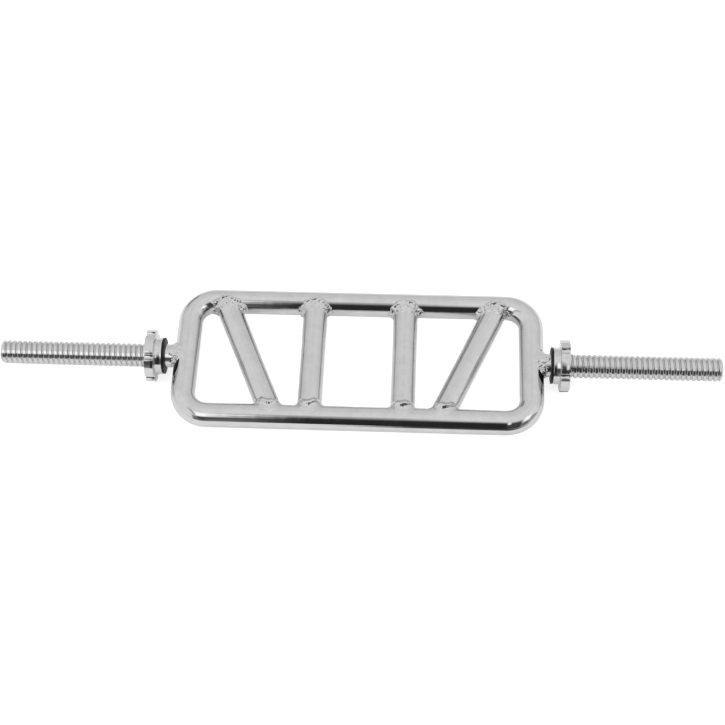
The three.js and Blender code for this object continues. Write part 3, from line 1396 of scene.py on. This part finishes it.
@dataclass
class TricepsBar:
    """The bar, built piece by piece."""

    wardrobe: Wardrobe = field(default_factory=Wardrobe)
    thread: Thread = field(default_factory=Thread)
    inner_x: float = 55 * MM
    outer_near_x: float = 98 * MM
    outer_far_x: float = 166 * MM
    ring_x: float = 229.6 * MM
    seat_gap: float = 0.3 * MM
    left_backed_off_turns: float = 0.45
    left_star_turn: float = math.radians(26)
    right_star_turn: float = math.radians(-5)

    def build_frame(self) -> None:
        """Builds the loop, the handles and their welds."""
        loop = FrameLoop(self.wardrobe)
        tube = loop.build()
        for side in Side:
            for row, near_x, far_x in (
                ("inner", self.inner_x, self.inner_x),
                ("outer", self.outer_near_x, self.outer_far_x),
            ):
                handle = Handle(self.wardrobe, side, row, near_x, far_x)
                handle.dress(handle.build(tube))
                for rail, other in ((Rail.NEAR, Rail.FAR), (Rail.FAR, Rail.NEAR)):
                    start = handle.rail_point(rail)
                    weld = Weld(
                        self.wardrobe,
                        loop,
                        f"{handle.word}_{rail.word}",
                        start,
                        Vector((0, -rail.value, 0)),
                        handle.rail_point(other) - start,
                        handle.radius,
                        FAR_BEAD if rail is Rail.FAR else NEAR_BEAD,
                    )
                    weld.dress(weld.build())
        loop.dress(tube)

    def build_ends(self) -> None:
        """Builds the sleeves, their welds, the rings and the collars."""
        loop = FrameLoop(self.wardrobe)
        sleeve = Sleeve(self.wardrobe, self.thread, loop)
        right_rod = sleeve.build()
        left_rod = half_turned_copy(right_rod, "threaded_sleeve_left")
        for side, rod in ((Side.LEFT, left_rod), (Side.RIGHT, right_rod)):
            sleeve.dress(rod, side)
            backed_off = self.left_backed_off_turns * self.thread.pitch
            start = self.ring_x + (backed_off if side is Side.LEFT else 0)
            ring = RubberRing(self.wardrobe, side, start)
            rubber = ring.build()
            star_turn = self.left_star_turn if side is Side.LEFT else self.right_star_turn
            seat = start + ring.thickness + self.seat_gap
            collar = StarCollar(self.wardrobe, self.thread, side, seat, star_turn)
            star = collar.build()
            if side is Side.LEFT:
                half_turn(rubber)
                half_turn(star)
            ring.dress(rubber)
            collar.dress(star)
            outward = Vector((side.value, 0, 0))
            weld = Weld(
                self.wardrobe,
                loop,
                f"sleeve_{side.word}",
                outward * loop.half_length,
                outward,
                outward,
                sleeve.neck_radius,
                SLEEVE_BEAD,
            )
            weld.dress(weld.build())

    def build(self) -> None:
        """Builds everything, and drops what only served to build it."""
        self.build_frame()
        self.build_ends()


# The studio


@dataclass(frozen=True)
class RoomPart:
    """A lighter or darker part of the room that the chrome mirrors.

    Its sides are the sideways parts of a direction, from -1 to 1. Its foot and head
    are degrees in the plane across the bar, 0 in front of it and 180 behind it.
    """

    sides: tuple[float, float]
    rise: tuple[float, float]
    level: float
    side_fade: float = 0.04
    rise_fade: float = 6.0


ROOM = (
    RoomPart((-0.6, 1.2), (-30, 40), 0.24, side_fade=0.06),  # the floor past the paper
    RoomPart((-0.13, 0.0), (50, 77), 0.6, side_fade=0.03, rise_fade=7),  # over the doorway
    RoomPart((-0.17, -0.09), (-5, 28), 0.3, side_fade=0.03),  # a lit spot of that floor
    RoomPart((-0.1, 0.6), (-30, 62), 0.08, side_fade=0.03, rise_fade=12),  # a dark doorway
    RoomPart((-0.1, 0.1), (-30, 50), 0.03, rise_fade=10),  # its middle
    RoomPart((0.11, 0.22), (43, 64), 1.3, side_fade=0.03, rise_fade=5),  # a lamp in it
    RoomPart((-0.42, -0.12), (12, 40), 0.1),  # a dark cupboard
    RoomPart((-0.44, -0.135), (46, 76), 1.6, side_fade=0.02, rise_fade=4),  # a window, left
    RoomPart((-0.17, -0.105), (60, 68), 1.5, side_fade=0.015, rise_fade=3),  # a lit frame
    RoomPart((-0.54, -0.45), (46, 88), 0.5),  # its curtain
    RoomPart((0.62, 0.84), (50, 77), 1.6, rise_fade=5),  # a window, right
    RoomPart((0.84, 1.2), (-30, 70), 0.5),  # the wall beside it
    RoomPart((-0.66, -0.4), (158, 200), 0.3),  # a gap behind the paper
)


@dataclass(frozen=True)
class Studio:
    """The floor, the lights, the surroundings that the chrome mirrors, and the camera."""

    floor_size: float = 8.0
    floor_shade: float = 0.86
    seen_lift: float = 0.6
    mirrored_lift: float = 0.27
    paper_edge: float = 0.2
    paper_edge_fade: float = 0.03
    paper_gap: tuple[float, float] = (0.0, 0.6)
    paper_gap_fade: float = 0.08
    ground_level: float = 0.1
    rest_height: float = 31.2 * MM
    lamp_place: Place = (-0.4, 0.3, 1.9)
    lamp_watts: float = 14.0
    lamp_size: float = 2.2
    plain_level: float = 0.75
    backdrop_levels: tuple[float, float] = (1.04, 0.8)
    backdrop_rise: tuple[float, float] = (85, 185)
    clutter_size: float = 0.2
    clutter_detail: float = 3
    clutter_depth: float = 0.3
    camera_place: Place = (0.08585, -1.01740, 1.68325)
    azimuth: float = math.radians(5.814)
    elevation: float = math.radians(58.793)
    roll: float = math.radians(-3.506)
    lens: float = 81.43
    shift: tuple[float, float] = (0.0261, -0.0002)
    clip: tuple[float, float] = (0.01, 50.0)

    def lay_floor(self) -> None:
        """Lays a pale floor that keeps the bar's shadow."""
        deselect_all()
        bpy.ops.mesh.primitive_plane_add(
            size=self.floor_size, location=(0, 0, -self.rest_height)
        )
        floor = settle(bpy.context.object, "floor")
        made, shading = new_material("pale_floor")
        nodes = made.node_tree.nodes
        nodes.remove(nodes["Principled BSDF"])
        paint, glow = shading.node("BsdfDiffuse"), shading.node("Emission")
        shading.feed(paint.inputs["Color"], (*[self.floor_shade] * 3, 1))
        both = shading.node("AddShader")
        shading.feed(both.inputs[0], paint.outputs[0])
        shading.feed(both.inputs[1], glow.outputs[0])
        rays = shading.node("LightPath").outputs
        seen = shading.of(Sum.MULTIPLY, rays["Is Camera Ray"], self.seen_lift)
        lit = shading.of(Sum.MULTIPLY, rays["Is Glossy Ray"], self.mirrored_lift)
        shading.feed(glow.inputs["Strength"], shading.of(Sum.ADD, seen, lit))

        # Where the paper ends in front of the bar, as only the chrome sees it
        x, y, _ = shading.split(shading.node("TexCoord").outputs["Object"])
        front = shading.of(Sum.MULTIPLY, y, -1.0)
        past = shading.fade(front, self.paper_edge, self.paper_edge + self.paper_edge_fade)
        gap = shading.within(x, self.paper_gap, self.paper_gap_fade)
        past = shading.of(Sum.MULTIPLY, past, gap)
        ground = shading.node("Emission")
        shading.feed(ground.inputs["Strength"], self.ground_level)
        choice = shading.node("MixShader")
        share = shading.of(Sum.MULTIPLY, past, rays["Is Glossy Ray"])
        for slot, value in zip(choice.inputs, (share, both.outputs[0], ground.outputs[0])):
            shading.feed(slot, value)
        shading.feed(nodes["Material Output"].inputs["Surface"], choice.outputs[0])
        floor.data.materials.append(made)

    def hang_lamp(self) -> None:
        """Hangs one broad soft lamp over the bar."""
        data = bpy.data.lights.new("soft_lamp", "AREA")
        data.shape = "SQUARE"
        data.size = self.lamp_size
        data.energy = self.lamp_watts
        lamp = bpy.data.objects.new("soft_lamp", data)
        bpy.context.scene.collection.objects.link(lamp)
        lamp.location = self.lamp_place
        lamp.rotation_euler = Vector(self.lamp_place).to_track_quat("Z", "Y").to_euler()
        lamp.visible_glossy = False

    def surround(self) -> None:
        """Makes the room: plain light for all, and the parts that the chrome mirrors."""
        world = bpy.data.worlds.new("studio")
        bpy.context.scene.world = world
        world.use_nodes = True
        shading = Shading(world.node_tree)
        background = world.node_tree.nodes["Background"].inputs
        direction = shading.node("TexCoord").outputs["Generated"]
        x, y, z = shading.split(direction)
        front = shading.of(Sum.MULTIPLY, y, -1.0)
        rise = shading.of(
            Sum.MULTIPLY, shading.of(Sum.ARCTAN2, z, front), math.degrees(1)
        )
        # The backdrop, darker towards its foot
        light = shading.mix(shading.fade(rise, *self.backdrop_rise), *self.backdrop_levels)
        for part in ROOM:
            share = shading.of(
                Sum.MULTIPLY,
                shading.within(x, part.sides, part.side_fade),
                shading.within(rise, part.rise, part.rise_fade),
            )
            light = shading.mix(share, light, part.level)
        clutter = shading.noise(direction, self.clutter_size, self.clutter_detail)
        depth = self.clutter_depth
        uneven = shading.of(Sum.MULTIPLY_ADD, clutter, depth, 1 - depth / 2)
        light = shading.of(Sum.MULTIPLY, light, uneven)

        rays = shading.node("LightPath").outputs
        plain = shading.of(
            Sum.MULTIPLY_ADD, rays["Is Camera Ray"], 1 - self.plain_level, self.plain_level
        )
        strength = shading.mix(rays["Is Glossy Ray"], plain, light)
        shading.feed(background["Strength"], strength)
        shading.feed(background["Color"], (1, 1, 1, 1))

    def set_camera(self) -> None:
        """Puts the camera where the photograph was taken from."""
        e, a = self.elevation, self.azimuth
        back = Vector((math.sin(a) * math.cos(e), -math.cos(a) * math.cos(e), math.sin(e)))
        right = Vector((0, 0, 1)).cross(back).normalized()
        up = back.cross(right)
        c, s = math.cos(self.roll), math.sin(self.roll)
        tilted_right, tilted_up = right * c + up * s, up * c - right * s
        data = bpy.data.cameras.new("camera")
        data.lens = self.lens
        data.sensor_width = 36
        data.shift_x, data.shift_y = self.shift
        data.clip_start, data.clip_end = self.clip
        camera = bpy.data.objects.new("camera", data)
        bpy.context.scene.collection.objects.link(camera)
        turn = Matrix((tilted_right, tilted_up, back)).transposed().to_4x4()
        camera.matrix_world = Matrix.Translation(self.camera_place) @ turn
        bpy.context.scene.camera = camera

    def build(self) -> None:
        """Builds the whole studio."""
        bpy.context.scene.view_settings.view_transform = "Standard"
        self.lay_floor()
        self.hang_lamp()
        self.surround()
        self.set_camera()


def main() -> None:
    """Builds the bar and the studio, and reports each piece."""
    logging.basicConfig(level=logging.INFO, format="%(name)s: %(message)s")
    TricepsBar().build()
    Studio().build()


if __name__ == "__main__":
    main()
